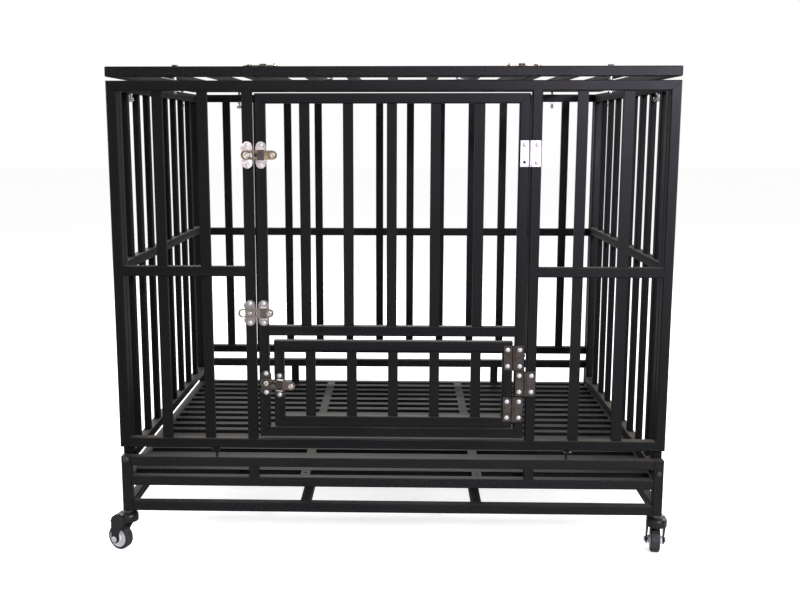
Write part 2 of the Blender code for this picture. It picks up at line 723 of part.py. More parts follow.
def make_fittings():
    """All hinges and hasps, each in the frame of the panel that carries it."""
    face = -HALF_D
    for name, x, z, surface, hole in (("main_hinge_upper", MAIN_PIN_X, 793.0, ZINC, True),
                                      ("main_hinge_lower", MAIN_PIN_X, 352.6, BRASSY, False),
                                      ("small_hinge_upper", SMALL_PIN_X, 403.4, BRASSY, False),
                                      ("small_hinge_lower", SMALL_PIN_X, 301.0, BRASSY, False)):
        make_hinge(name, FRONT, (x, face, z), (x, face - PIN_OUT, z), surface, hole)
    top = LID_Z + TUBE
    across = Matrix(((0, -1, 0), (1, 0, 0), (0, 0, 1)))
    for name, x in (("top_hinge_left", -170.0), ("top_hinge_right", 170.0)):
        make_hinge(name, across, (x, TOP_PIN_Y, top), (x, TOP_PIN_Y, top + PIN_OUT), ZINC)

    make_hasp("upper_hasp", FRONT, (-POST_X, face, 790.0), ZINC)
    make_hasp("middle_hasp", FRONT, (-POST_X, face, 489.0), BRASSY, slid=HASP_TRAVEL, head=3.1)
    make_hasp("small_hasp", FRONT, (-241.8, face, 351.4), BRASSY, tilt=HASP_TILT, drop=-4.5)
    make_hasp("top_hasp_left", TOP, (-POST_X, -330.0, top), ZINC)
    turned_round = Matrix(((-1, 0, 0), (0, -1, 0), (0, 0, 1)))
    make_hasp("top_hasp_right", turned_round, (POST_X, -330.0, top), ZINC)


def make_caster(label, side, end, heading):
    """A swivel caster: a stem with its bearing race, a hooded fork with the axle, and the wheel."""
    x, y = side * CASTER_X, end * RAIL_Y
    top = LOW_Z - GAP
    turn = Matrix.Translation((x, y, 0.0)) @ Matrix.Rotation(math.radians(heading), 4, "Z")

    stem = turned("stem", [(0.0, top), (13.0, top), (11.6, 82.0), (4.0, 82.0), (4.0, 76.4), (6.4, 76.4),
                           (6.4, 74.0), (0.0, 74.0)], 12)
    finish(f"caster_{label}_stem", stem, ZINC, (x, y, top), turn)

    hood = turned("hood", [(4.8, 81.6), (14.0, 81.6), (18.6, 79.0), (20.0, 75.0), (20.0, 64.0), (17.6, 64.0),
                           (17.6, 77.0), (4.8, 77.0)], 16, closed=True)
    outline = arc((TRAIL, WHEEL_R), 9.0, -160.0, 0.0, 6) + [(31.4, 48.0), (30.6, 60.0), (26.6, 68.4), (18.0, 74.6),
                                                            (4.0, 76.0), (-6.0, 74.0), (-4.0, 62.0), (12.4, 38.0)]
    for side_v in (-1, 1):
        cheek = sheet("cheek", [outline], -1.3, 1.3)
        cheek.data.transform(Matrix.Translation((0.0, side_v * 16.4, 0.0)) @ Matrix.Rotation(math.pi / 2, 4, "X"))
        hood = boolean(hood, cheek, "UNION")
    roof = sheet("roof", [[(30.4, 59.0), (26.5, 68.2), (18.0, 74.4), (10.0, 75.4), (10.0, 78.0), (19.0, 77.2),
                           (28.6, 70.2), (32.8, 60.2)]], -17.5, 17.5)
    roof.data.transform(Matrix.Rotation(math.pi / 2, 4, "X"))
    hood = boolean(hood, roof, "UNION")

    def axle(bm):
        cylinder(bm, (TRAIL, 0.0, WHEEL_R), 3.0, -19.0, 19.0, 1, 8)

    def axle_ends(bm):
        for low, high in ((-20.2, -17.4), (17.4, 20.2)):
            cylinder(bm, (TRAIL, 0.0, WHEEL_R), 5.2, low, high, 1, 8)

    for step in (axle, axle_ends):
        hood = boolean(hood, solid("axle", step), "UNION")
    finish(f"caster_{label}_fork", hood, DARK, (x, y, top), turn)

    wide = WHEEL_WIDE / 2
    half_step = math.pi / WHEEL_SIDES
    rim = WHEEL_R / math.cos(half_step)
    profile = [(3.6, 13.6), (7.6, 13.6), (8.6, wide - 0.7), (22.2, wide), (rim, wide - 2.4)]
    profile += [(r, -z) for r, z in reversed(profile)]
    wheel = turned("wheel", profile, WHEEL_SIDES, closed=True)
    wheel.data.transform(Matrix.Rotation(half_step, 4, "Z"))
    lay = turn @ Matrix.Translation((TRAIL, 0.0, WHEEL_R)) @ Matrix.Rotation(math.pi / 2, 4, "X")
    hub = turn @ Vector((TRAIL, 0.0, WHEEL_R))
    finish(f"caster_{label}_wheel", wheel, TREAD, hub, lay)


for old in list(bpy.data.objects):
    bpy.data.objects.remove(old)
crate = bpy.data.collections.new("folding_dog_crate")
bpy.context.scene.collection.children.link(crate)

make_base()
make_floor()
make_front_panel()
make_back_panel()
make_side_panel("left_panel", -1, LEFT_PIVOT_Z)
make_side_panel("right_panel", 1, RIGHT_PIVOT_Z)
make_side_pivots()
make_lid()
make_doors()
make_fittings()
for caster, (side, end, heading) in CASTERS.items():
    make_caster(caster, side, end, heading)
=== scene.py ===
"""Looks of the folding dog crate: powder coat, zinc fittings, fasteners, casters, light and camera.

Shapes are in millimetres; shaders, lamps and the camera are in metres. Places come from the CAD nodes and
joints, and what the CAD leaves out has named sizes here.
"""

import json
import math

import bmesh
import bpy
from mathutils import Matrix, Vector


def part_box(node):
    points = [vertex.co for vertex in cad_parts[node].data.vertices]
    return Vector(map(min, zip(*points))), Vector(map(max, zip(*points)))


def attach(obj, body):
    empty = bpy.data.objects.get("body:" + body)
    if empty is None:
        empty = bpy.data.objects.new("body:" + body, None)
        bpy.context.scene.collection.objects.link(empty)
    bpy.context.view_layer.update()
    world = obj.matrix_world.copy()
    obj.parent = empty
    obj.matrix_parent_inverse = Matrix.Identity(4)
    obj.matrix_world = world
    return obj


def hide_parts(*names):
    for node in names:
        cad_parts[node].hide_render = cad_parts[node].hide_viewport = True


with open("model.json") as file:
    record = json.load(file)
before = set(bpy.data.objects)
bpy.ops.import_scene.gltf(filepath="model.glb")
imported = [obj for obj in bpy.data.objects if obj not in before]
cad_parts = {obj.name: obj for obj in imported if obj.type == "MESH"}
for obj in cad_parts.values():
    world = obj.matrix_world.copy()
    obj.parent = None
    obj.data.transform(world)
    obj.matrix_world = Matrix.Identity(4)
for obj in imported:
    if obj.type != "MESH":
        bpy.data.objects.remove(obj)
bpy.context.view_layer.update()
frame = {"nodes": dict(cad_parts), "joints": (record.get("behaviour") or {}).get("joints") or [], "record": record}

MM = 0.001
# For shapes that are drawn where they stand
HERE = Matrix.Identity(4)
nodes = frame["nodes"]
joints = {joint["name"]: joint for joint in frame["joints"]}
body_of = {node: body for body, names in frame["record"]["behaviour"]["bodies"].items() for node in names}


def box_mm(node):
    """A CAD node's lowest and highest corners."""
    return [Vector(corner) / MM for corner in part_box(node)]


def middle_mm(node):
    """The middle of a CAD node's box."""
    low, high = box_mm(node)
    return (low + high) / 2


# The tube's width, and the faces that fittings stand on
TUBE = 19.0
FACE = box_mm("front_panel")[0].y
PANEL_TOP = box_mm("front_panel")[1].z
LID_TOP = box_mm("top_door")[1].z


# Shader helpers

def new_material(name):
    """A material with its tree, its shader and the place of a point on its object."""
    material = bpy.data.materials.new(name)
    material.use_nodes = True
    tree = material.node_tree
    shader = tree.nodes["Principled BSDF"]
    coords = tree.nodes.new("ShaderNodeTexCoord")
    return material, tree, shader, coords.outputs["Object"]


def noise(tree, vector, scale, detail=2.0, rough=0.5):
    """Cloudy noise with a number of waves to the metre."""
    node = tree.nodes.new("ShaderNodeTexNoise")
    node.inputs["Scale"].default_value = scale
    node.inputs["Detail"].default_value = detail
    node.inputs["Roughness"].default_value = rough
    tree.links.new(vector, node.inputs["Vector"])
    return node.outputs["Fac"]


def stretched(tree, vector, scale):
    """A vector scaled along each axis, which draws noise out into lines."""
    node = tree.nodes.new("ShaderNodeMapping")
    node.inputs["Scale"].default_value = scale
    tree.links.new(vector, node.inputs["Vector"])
    return node.outputs["Vector"]


def ranged(tree, value, span, out=(0.0, 1.0)):
    """A value carried from one span of numbers to another and held at its ends."""
    node = tree.nodes.new("ShaderNodeMapRange")
    for socket, number in zip(("From Min", "From Max", "To Min", "To Max"), (*span, *out)):
        node.inputs[socket].default_value = number
    tree.links.new(value, node.inputs["Value"])
    return node.outputs["Result"]


def mixed(tree, factor, first, second):
    """Colour mix; each side is a colour or a socket."""
    node = tree.nodes.new("ShaderNodeMix")
    node.data_type = "RGBA"
    tree.links.new(factor, node.inputs["Factor"])
    for socket, value in (("A", first), ("B", second)):
        target = next(i for i in node.inputs if i.name == socket and i.type == "RGBA")
        if isinstance(value, tuple):
            target.default_value = (*value, 1.0)
        else:
            tree.links.new(value, target)
    return next(o for o in node.outputs if o.type == "RGBA")


def maths(tree, operation, first, second=None):
    """A maths node; each side is a number or a socket."""
    node = tree.nodes.new("ShaderNodeMath")
    node.operation = operation
    for socket, value in zip(node.inputs, (first, second)):
        if isinstance(value, (int, float)):
            socket.default_value = value
        elif value is not None:
            tree.links.new(value, socket)
    return node.outputs["Value"]


def product(tree, first, *others):
    """Several values multiplied."""
    for other in others:
        first = maths(tree, "MULTIPLY", first, other)
    return first


def vector_maths(tree, operation, first, second=None, output="Vector"):
    """A vector maths node; the first side is a socket and the second is three numbers."""
    node = tree.nodes.new("ShaderNodeVectorMath")
    node.operation = operation
    tree.links.new(first, node.inputs[0])
    if second is not None:
        node.inputs[1].default_value = second
    return node.outputs[output]


def axis_part(tree, vector, axis):
    """One of X, Y and Z out of a vector."""
    node = tree.nodes.new("ShaderNodeSeparateXYZ")
    tree.links.new(vector, node.inputs["Vector"])
    return node.outputs[axis]


def bump(tree, shader, height, strength, distance):
    """Fine relief in the shading only."""
    node = tree.nodes.new("ShaderNodeBump")
    node.inputs["Strength"].default_value = strength
    node.inputs["Distance"].default_value = distance
    tree.links.new(height, node.inputs["Height"])
    tree.links.new(node.outputs["Normal"], shader.inputs["Normal"])


def scaled(colour, factor):
    """A colour made darker or lighter, held at white."""
    return tuple(min(1.0, part * factor) for part in colour)


# How far a soft edge between two tones reaches
FADE = 0.00025


def below(tree, value, high):
    """1 up to a distance, with a soft end."""
    return ranged(tree, value, (high - FADE, high), (1.0, 0.0))


def within(tree, value, low, high):
    """1 between two distances, with soft ends."""
    return product(tree, ranged(tree, value, (low, low + FADE)), below(tree, value, high))


# Powder coat

COAT_BLACK = (0.0054, 0.0055, 0.0057)
# Dust on upward faces, in a light beige that also paints the sheen that top faces take from the light
DUST_AND_SHEEN_COLOUR = (0.150, 0.131, 0.102)
WORN_EDGE = (0.030, 0.029, 0.029)
MITRE_BLACK = (0.0004, 0.0004, 0.0004)
CLOUD_SCALE = 9.0
SPECK_SCALE = 260.0
PEEL_SCALE = 620.0
# Where a mitre line fades across its width, and where it ends at the tube's inner edge
MITRE_WIDTH = (0.0005, 0.0012)
MITRE_REACH = (0.0190, 0.0194)
# How deep it is beside the orange peel
MITRE_DEPTH = 3.0
# How much rougher the coat is where dust and painted sheen lie
DUST_AND_SHEEN_DULLS = 0.12


def mitre_mask(tree, place, axes, centre, half):
    """1 along the four mitre lines of a frame of tube, from its middle and half sizes in millimetres."""
    inward = []
    for axis, middle, reach in zip(axes, centre, half):
        offset = maths(tree, "ABSOLUTE", maths(tree, "SUBTRACT", axis_part(tree, place, axis), middle * MM))
        inward.append(maths(tree, "SUBTRACT", reach * MM, offset))
    apart = maths(tree, "ABSOLUTE", maths(tree, "SUBTRACT", *inward))
    line = ranged(tree, apart, MITRE_WIDTH, (1.0, 0.0))
    near = ranged(tree, maths(tree, "MAXIMUM", *inward), MITRE_REACH, (1.0, 0.0))
    return product(tree, line, near)


def dust_and_top_sheen(tree, cloud, specks, amount):
    """Dust in patches and specks, with a painted sheen, on the faces that look up while the crate stands."""
    normal = tree.nodes.new("ShaderNodeTexCoord").outputs["Normal"]
    looks_up = ranged(tree, axis_part(tree, normal, "Z"), (0.55, 1.0))
    patches = ranged(tree, cloud, (0.35, 0.75), (0.25, 1.0))
    grains = ranged(tree, specks, (0.35, 0.65), (0.6, 1.0))
    return product(tree, looks_up, patches, amount, grains)


def worn_edges(tree, specks):
    """Bare spots along the sharp edges."""
    sharpness = tree.nodes.new("ShaderNodeNewGeometry").outputs["Pointiness"]
    edges = ranged(tree, sharpness, (0.53, 0.60))
    return product(tree, edges, ranged(tree, specks, (0.45, 0.62), (0.0, 0.5)))


def powder_coat(name, colour=COAT_BLACK, rough=0.47, dust_and_sheen=0.5, mitre=None, shine=0.22):
    """Black powder coat: orange peel, uneven gloss, dust with a painted sheen on upward faces, worn edges and
    mitre lines.
    """
    material, tree, shader, place = new_material(name)
    cloud = noise(tree, place, CLOUD_SCALE, detail=4.0)
    specks = noise(tree, place, SPECK_SCALE, detail=3.0, rough=0.65)
    relief = noise(tree, place, PEEL_SCALE, detail=2.0)
    dust_and_sheen_mask = dust_and_top_sheen(tree, cloud, specks, dust_and_sheen)
    tone = mixed(tree, ranged(tree, cloud, (0.3, 0.7)), scaled(colour, 0.85), scaled(colour, 1.2))
    # Upward faces lightened with dust and a painted sheen
    tone = mixed(tree, dust_and_sheen_mask, tone, DUST_AND_SHEEN_COLOUR)
    tone = mixed(tree, worn_edges(tree, specks), tone, WORN_EDGE)
    if mitre is not None:
        line = mitre_mask(tree, place, *mitre)
        tone = mixed(tree, line, tone, MITRE_BLACK)
        relief = maths(tree, "SUBTRACT", relief, product(tree, line, MITRE_DEPTH))
    gloss = ranged(tree, cloud, (0.3, 0.7), (rough - 0.04, rough + 0.05))
    tree.links.new(tone, shader.inputs["Base Color"])
    tree.links.new(maths(tree, "ADD", gloss, product(tree, dust_and_sheen_mask, DUST_AND_SHEEN_DULLS)), shader.inputs["Roughness"])
    shader.inputs["Specular IOR Level"].default_value = shine
    bump(tree, shader, relief, strength=0.22, distance=0.00025)
    return material


# Zinc plate

UPRIGHT_BRUSH = (1.0, 1.0, 0.15)
BRUSH_SCALE = 900.0
# Half a strap's width, and where the painted shadow and the painted glint of its bends lie from the plate's middle
STRAP_HALF = 0.0060
BEND_SHADOW = (0.0080, 0.0094)
BEND_GLINT = (0.0097, 0.0126)
# The painted shadow's colour, then the painted glint's colour and metalness
BEND_SHADOW_BLACK = (0.004, 0.004, 0.005)
GLINT_COLOUR = (0.95, 0.88, 0.74)
GLINT_METAL = 0.15


def brushed(tree, shader, place, cloud, along, rough):
    """Faint brush lines, in the gloss and the relief."""
    lines = noise(tree, stretched(tree, place, along), BRUSH_SCALE, detail=3.0, rough=0.6)
    gloss = ranged(tree, maths(tree, "ADD", cloud, lines), (0.7, 1.3), (rough - 0.07, rough + 0.12))
    tree.links.new(gloss, shader.inputs["Roughness"])
    bump(tree, shader, lines, strength=0.12, distance=0.00012)


def plated(name, colour, stain, rough=0.3, stained=0.5, along=(1.0, 1.0, 1.0), metal=1.0):
    """Zinc plate: faint brushing, uneven gloss, bright grains, and a stain that gathers in patches."""
    material, tree, shader, place = new_material(name)
    cloud = noise(tree, place, 70.0, detail=4.0, rough=0.6)
    patch = noise(tree, place, 160.0, detail=3.0, rough=0.6)
    grain = noise(tree, place, 800.0, detail=3.0, rough=0.7)
    tone = mixed(tree, ranged(tree, cloud, (0.42, 0.68), (0.0, stained)), colour, stain)
    tone = mixed(tree, ranged(tree, patch, (0.60, 0.74), (0.0, 0.35)), tone, scaled(stain, 0.45))
    tone = mixed(tree, ranged(tree, grain, (0.50, 0.70), (0.0, 0.5)), tone, scaled(colour, 2.2))
    tree.links.new(tone, shader.inputs["Base Color"])
    shader.inputs["Metallic"].default_value = metal
    brushed(tree, shader, place, cloud, along, rough)
    return material


def banded(name, inner, outer, origin, axis, edges, rough=0.3, run=None):
    """Zinc plate in two tones of painted light and shade that change along an axis, between two millimetre
    distances from an origin.

    With a run, which is the way a strap goes, a painted shadow line and a painted glint mark the strap's bends.
    """
    material, tree, shader, place = new_material(name)
    arm = vector_maths(tree, "SUBTRACT", place, origin * MM)
    across = maths(tree, "ABSOLUTE", vector_maths(tree, "DOT_PRODUCT", arm, axis, "Value"))
    cloud = noise(tree, place, 90.0, detail=4.0, rough=0.6)
    patch = noise(tree, place, 240.0, detail=3.0, rough=0.6)
    stain = tuple(0.28 * (a + b) for a, b in zip(inner, outer))
    tone = mixed(tree, ranged(tree, across, [edge * MM for edge in edges]), inner, outer)
    tone = mixed(tree, ranged(tree, cloud, (0.45, 0.75), (0.0, 0.5)), tone, stain)
    tone = mixed(tree, ranged(tree, patch, (0.60, 0.74), (0.0, 0.4)), tone, scaled(inner, 0.4))
    shader.inputs["Metallic"].default_value = 1.0
    if run is not None:
        along = maths(tree, "ABSOLUTE", vector_maths(tree, "DOT_PRODUCT", arm, run, "Value"))
        strap = below(tree, along, STRAP_HALF)
        # A painted shadow line and a painted glint at the strap's bends
        bend_shadow = product(tree, within(tree, across, *BEND_SHADOW), strap)
        glint = product(tree, within(tree, across, *BEND_GLINT), strap)
        tone = mixed(tree, bend_shadow, mixed(tree, glint, tone, GLINT_COLOUR), BEND_SHADOW_BLACK)
        tree.links.new(ranged(tree, glint, (0.0, 1.0), (1.0, GLINT_METAL)), shader.inputs["Metallic"])
    tree.links.new(tone, shader.inputs["Base Color"])
    brushed(tree, shader, place, cloud, UPRIGHT_BRUSH, rough)
    return material


# Casters

FORK_BLACK = (0.009, 0.009, 0.010)
FORK_STREAK = (0.085, 0.080, 0.072)
TREAD_TONES = ((0.022, 0.023, 0.026), (0.055, 0.056, 0.060))
HUB_TONES = ((0.95, 0.95, 0.94), (0.80, 0.79, 0.77))
# The radius at which the pale centre of a wheel gives way to its tread
HUB_EDGE = (0.0192, 0.0196)


def caster_black(name):
    """Glossier black of the caster forks, with lighter brownish streaks."""
    material, tree, shader, place = new_material(name)
    cloud = noise(tree, place, 60.0, detail=4.0, rough=0.6)
    streaks = noise(tree, stretched(tree, place, (0.35, 0.35, 1.6)), 420.0, detail=3.0, rough=0.7)
    tone = mixed(tree, ranged(tree, streaks, (0.60, 0.72), (0.0, 0.5)), FORK_BLACK, FORK_STREAK)
    tree.links.new(tone, shader.inputs["Base Color"])
    tree.links.new(ranged(tree, cloud, (0.3, 0.7), (0.22, 0.40)), shader.inputs["Roughness"])
    bump(tree, shader, cloud, strength=0.15, distance=0.0006)
    return material


def wheel_material(name, hub, axle):
    """A pale moulded centre and a dark tread, parted at a radius from the axle."""
    material, tree, shader, place = new_material(name)
    arm = vector_maths(tree, "SUBTRACT", place, hub)
    radius = vector_maths(tree, "LENGTH", vector_maths(tree, "CROSS_PRODUCT", arm, axle), output="Value")
    grit = noise(tree, place, 500.0, detail=4.0, rough=0.6)
    dirt = noise(tree, place, 90.0, detail=4.0, rough=0.6)
    tread = mixed(tree, ranged(tree, dirt, (0.35, 0.65)), *TREAD_TONES)
    centre = mixed(tree, ranged(tree, dirt, (0.45, 0.75), (0.0, 0.4)), *HUB_TONES)
    tree.links.new(mixed(tree, ranged(tree, radius, HUB_EDGE), centre, tread), shader.inputs["Base Color"])
    tree.links.new(ranged(tree, radius, HUB_EDGE, (0.40, 0.46)), shader.inputs["Roughness"])
    bump(tree, shader, grit, strength=0.2, distance=0.0003)
    return material


# The materials, and which CAD node wears which

COAT = powder_coat("black_powder_coat")
# A lighter copy of the black coat for the base: painted light
BASE_COAT_PAINTED_LIGHT = powder_coat("black_base_coat_painted_light", (0.0092, 0.0093, 0.0094))
# A darker copy of the black coat for the floor slats inside the crate: painted shade
SLAT_COAT_PAINTED_SHADE = powder_coat("black_slat_coat_painted_shade", (0.0040, 0.0040, 0.0040), dust_and_sheen=0.30)
# A darker copy of the black coat for the side panels' bars: painted shade where the cage keeps light off them
SIDE_BAR_COAT_PAINTED_SHADE = powder_coat("black_side_bar_coat_painted_shade", (0.0034, 0.0034, 0.0037), rough=0.60, dust_and_sheen=0.4, shine=0.16)
# The upper main hinge's zinc, painted near white with a pink tint as the lamp's glare in it: a lit copy of the
# hinges' zinc
ZINC_PAINTED_LIGHT = plated("zinc_painted_light", (0.98, 0.93, 0.96), (0.80, 0.70, 0.74),
                rough=0.34, stained=0.35, along=UPRIGHT_BRUSH)
# The other door hinges' zinc, painted dark as the shade of the dark room that it mirrors: a shaded copy of the
# hinges' zinc
ZINC_PAINTED_SHADE = plated("zinc_painted_shade", (0.130, 0.113, 0.096), (0.062, 0.052, 0.042),
                 rough=0.34, stained=0.8, along=UPRIGHT_BRUSH)
# The lid hinges' zinc, painted darker as the shade of the dark room that it mirrors
LID_ZINC_PAINTED_SHADE = plated("lid_zinc_painted_shade", (0.30, 0.29, 0.29), (0.14, 0.13, 0.13), rough=0.40, stained=0.6)
RIVET = plated("polished_rivet", (0.97, 0.98, 1.0), (0.84, 0.84, 0.84),
               rough=0.32, stained=0.25, metal=0.55)
SCREW = plated("brass_screw", (0.96, 0.86, 0.76), (0.62, 0.48, 0.34), rough=0.28, stained=0.5, metal=0.6)
STEEL = plated("zinc_fastener", (0.72, 0.73, 0.76), (0.40, 0.40, 0.40), rough=0.24, stained=0.4)
# A copy of the fastener zinc painted dark, as the shade of the dark room that these fasteners mirror
STEEL_PAINTED_SHADE = plated("fastener_painted_shade", (0.10, 0.10, 0.105), (0.05, 0.05, 0.05), rough=0.42, stained=0.5)
FORK = caster_black("caster_black")

# The frames of tube with mitred corners and the plane that each lies in
MITRED = {"front_panel": "XZ", "back_panel": "XZ", "left_panel": "YZ", "right_panel": "YZ",
          "main_door": "XZ", "small_door": "XZ", "lid": "XY", "top_door": "XY"}
# How far the lugs of the front and back panels hang below their frames
LUG_DROP = {"front_panel": 11.0, "back_panel": 12.2}
# How much dust, with its painted sheen, lies on the upward faces of the walls and of the lid
WALL_DUST_AND_SHEEN = 1.0
LID_DUST_AND_SHEEN = 0.3
CASTERS = ("front_left", "front_right", "rear_left", "rear_right")


def dress(node, material):
    """Give a CAD node one material."""
    data = nodes[node].data
    data.materials.clear()
    data.materials.append(material)


def mitred_coat(node):
    """Powder coat with mitre lines at the corners of a CAD node's frame."""
    plane = MITRED[node]
    low, high = box_mm(node)
    low.z += LUG_DROP.get(node, 0.0)
    picks = ["XYZ".index(axis) for axis in plane]
    centre = [(low[i] + high[i]) / 2 for i in picks]
    half = [(high[i] - low[i]) / 2 for i in picks]
    dust_and_sheen = LID_DUST_AND_SHEEN if plane == "XY" else WALL_DUST_AND_SHEEN
    return powder_coat(f"black_{node}", dust_and_sheen=dust_and_sheen, mitre=(plane, centre, half))


def coat_of(node):
    """The material of a CAD node, by its name; wheels and hasps get theirs further down."""
    if node in MITRED:
        return mitred_coat(node)
    if "pivot_bolt" in node:
        return STEEL_PAINTED_SHADE
    if node.endswith("_stem"):
        return STEEL
    if node.endswith("_fork"):
        return FORK
    if node.startswith("main_hinge_upper"):
        return ZINC_PAINTED_LIGHT
    if node.startswith("top_hinge"):
        return LID_ZINC_PAINTED_SHADE
    if "hinge" in node:
        return ZINC_PAINTED_SHADE
    if node.startswith("base"):
        return BASE_COAT_PAINTED_LIGHT
    return SLAT_COAT_PAINTED_SHADE if "floor" in node else COAT


for node in nodes:
    dress(node, coat_of(node))
for label in CASTERS:
    spin = joints[f"{label}_wheel_spin"]
    dress(f"caster_{label}_wheel", wheel_material(f"wheel_{label}", spin["pos_m"], spin["axis"]))


# Solids for the fasteners

def lathe(profile, sides=24):
    """A turned solid from a profile of radius and height."""
    shape = bmesh.new()
    rings = []
    for radius, height in profile:
        if radius < 1e-6:
            rings.append([shape.verts.new((0.0, 0.0, height))])
        else:
            angles = [2 * math.pi * i / sides for i in range(sides)]
            rings.append([shape.verts.new((radius * math.cos(turn), radius * math.sin(turn), height))
                          for turn in angles])
    for low, high in zip(rings, rings[1:]):
        for i in range(sides):
            j = (i + 1) % sides
            if len(low) == 1:
                shape.faces.new((low[0], high[i], high[j]))
            elif len(high) == 1:
                shape.faces.new((low[i], low[j], high[0]))
            else:
                shape.faces.new((low[i], low[j], high[j], high[i]))
    bmesh.ops.recalc_face_normals(shape, faces=shape.faces)
    return shape


def dome_rivet(radius=3.8, height=2.0):
    """A button head with a thin lip."""
    lip = radius + 0.5
    dome = [(radius * math.cos(t), height * math.sin(t)) for t in (0.25, 0.5, 0.8, 1.1, 1.35)]
    return lathe([(0.0, -0.4), (lip, -0.4), (lip, 0.25), (radius, 0.3), *dome, (0.0, height)])


def carved(shape, cutter):
    """A solid less another one; both are used up."""
    bodies = []
    for part in (shape, cutter):
        mesh = bpy.data.meshes.new("part")
        part.to_mesh(mesh)
        part.free()
        body = bpy.data.objects.new("part", mesh)
        bpy.context.scene.collection.objects.link(body)
        bodies.append(body)
    cut = bodies[0].modifiers.new("cut", "BOOLEAN")
    cut.operation = "DIFFERENCE"
    cut.solver = "EXACT"
    cut.object = bodies[1]
    graph = bpy.context.evaluated_depsgraph_get()
    out = bmesh.new()
    out.from_mesh(bodies[0].evaluated_get(graph).data)
    for body in bodies:
        bpy.data.objects.remove(body)
    return out


def block(low, high, edge=1.6):
    """A box with rounded edges between two corners."""
    shape = bmesh.new()
    middle = Matrix.Translation([(a + b) / 2 for a, b in zip(low, high)])
    size = Matrix.Diagonal([b - a for a, b in zip(low, high)] + [1.0])
    bmesh.ops.create_cube(shape, size=1.0, matrix=middle @ size)
    bmesh.ops.bevel(shape, geom=shape.edges[:], offset=edge, segments=3, profile=0.5, affect="EDGES")
    return shape


def slotted_head(radius, low, high):
    """A cheese head with a rounded rim and a screwdriver slot."""
    rim = high - 0.9
    crown = high - 0.12
    slot_width = 1.3
    slot_cut = 2.0
    shape = lathe([(0.0, low), (radius, low), (radius, rim), (radius - 0.25, rim + 0.35),
                   (radius - 0.9, rim + 0.6), (radius * 0.5, crown), (0.0, high)], sides=28)
    slot = bmesh.new()
    size = Matrix.Diagonal((radius * 3, slot_width, slot_cut, 1.0))
    bmesh.ops.create_cube(slot, size=1.0, matrix=Matrix.Translation((0.0, 0.0, high)) @ size)
    return carved(shape, slot)


def hex_nut(radius, height, stud=2.4, proud=1.2):
    """A chamfered hexagon nut with the bolt's end standing out of it."""
    end = height + proud
    return lathe([(0.0, 0.0), (radius, 0.0), (radius, height - 0.6), (radius - 0.7, height),
                  (stud + 0.1, height), (stud, end - 0.4), (stud - 0.5, end), (0.0, end)], sides=6)


def wing_nut_parts(place):
    """A bolt's end under a rail with a wing nut near its tip, as (solid, matrix) pairs."""
    bolt = 2.5
    tip = 16.6
    low = 9.4
    top = 14.4
    root = Vector((2.8, 0.0, 9.8))
    lean = 0.35
    thread = lathe([(0.0, 0.0), (bolt, 0.0), (bolt, tip - 1.0), (bolt - 0.6, tip), (0.0, tip)], sides=14)
    hub = lathe([(2.4, low), (4.6, low), (4.4, low + 1.2), (3.3, top), (2.4, top)], sides=18)
    slope = Matrix.Translation(root) @ Matrix.Rotation(lean, 4, "Y") @ Matrix.Translation(-root)
    parts = [(thread, place), (hub, place)]
    for turn in (0.0, math.pi):
        ear = block((root.x, -1.0, root.z), (8.6, 1.0, 17.0), edge=0.9)
        parts.append((ear, place @ Matrix.Rotation(turn, 4, "Z") @ slope))
    return parts


# Placing

# The ways a fitting can face; across and round are on the lid, a quarter and a half turn from top
TURNS = {"front": Matrix(((1, 0, 0), (0, 0, -1), (0, 1, 0))),
         "right": Matrix(((0, 0, 1), (1, 0, 0), (0, 1, 0))),
         "left": Matrix(((0, 0, -1), (-1, 0, 0), (0, 1, 0))),
         "down": Matrix(((1, 0, 0), (0, -1, 0), (0, 0, -1))),
         "top": Matrix.Identity(3),
         "across": Matrix(((0, -1, 0), (1, 0, 0), (0, 0, 1))),
         "round": Matrix(((-1, 0, 0), (0, -1, 0), (0, 0, 1)))}


def facing(way, origin):
    """A matrix whose local Z is the outward axis of a way and whose origin is a point."""
    return Matrix.Translation(Vector(origin)) @ TURNS[way].to_4x4()


def on_face(way, point):
    """The same for a fitting, with its point brought onto the front's face or the lid's top."""
    if way == "front":
        return facing(way, (point.x, FACE, point.z))
    return facing(way, (point.x, point.y, LID_TOP))


def shift(x, y, z):
    """A move without a turn."""
    return Matrix.Translation((x, y, z))


def piece(name, body, material, parts):
    """One mesh object from (bmesh, matrix) pairs in millimetres, riding on a body."""
    shape = bmesh.new()
    for part, matrix in parts:
        mesh = bpy.data.meshes.new("part")
        part.to_mesh(mesh)
        mesh.transform(matrix)
        shape.from_mesh(mesh)
        bpy.data.meshes.remove(mesh)
    bmesh.ops.scale(shape, vec=(MM, MM, MM), verts=shape.verts)
    mesh = bpy.data.meshes.new(name)
    shape.to_mesh(mesh)
    shape.free()
    mesh.materials.append(material)
    mesh.shade_smooth()
    mesh.set_sharp_from_angle(angle=math.radians(40.0))
    made = bpy.data.objects.new(name, mesh)
    bpy.context.scene.collection.objects.link(made)
    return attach(made, body)


# Side panels with the eight bars that the photograph shows

# The underside of the mid rail
SIDE_CROSS = 566.0
SIDE_BARS = 8
BAR_PITCH = 80.0
# How far each panel's row of bars is off the middle in Y, read off the photograph
BAR_SHIFT = {"left": -6.0, "right": -9.0}
BORE_RADIUS = 3.5
BORE_DEPTH = 18.0
# Half sizes of a bar's section and of the bead round it
BAR_HALF = Vector((5.8, 9.5, 0.0))
BEAD_HALF = Vector((7.0, 10.6, 1.2))


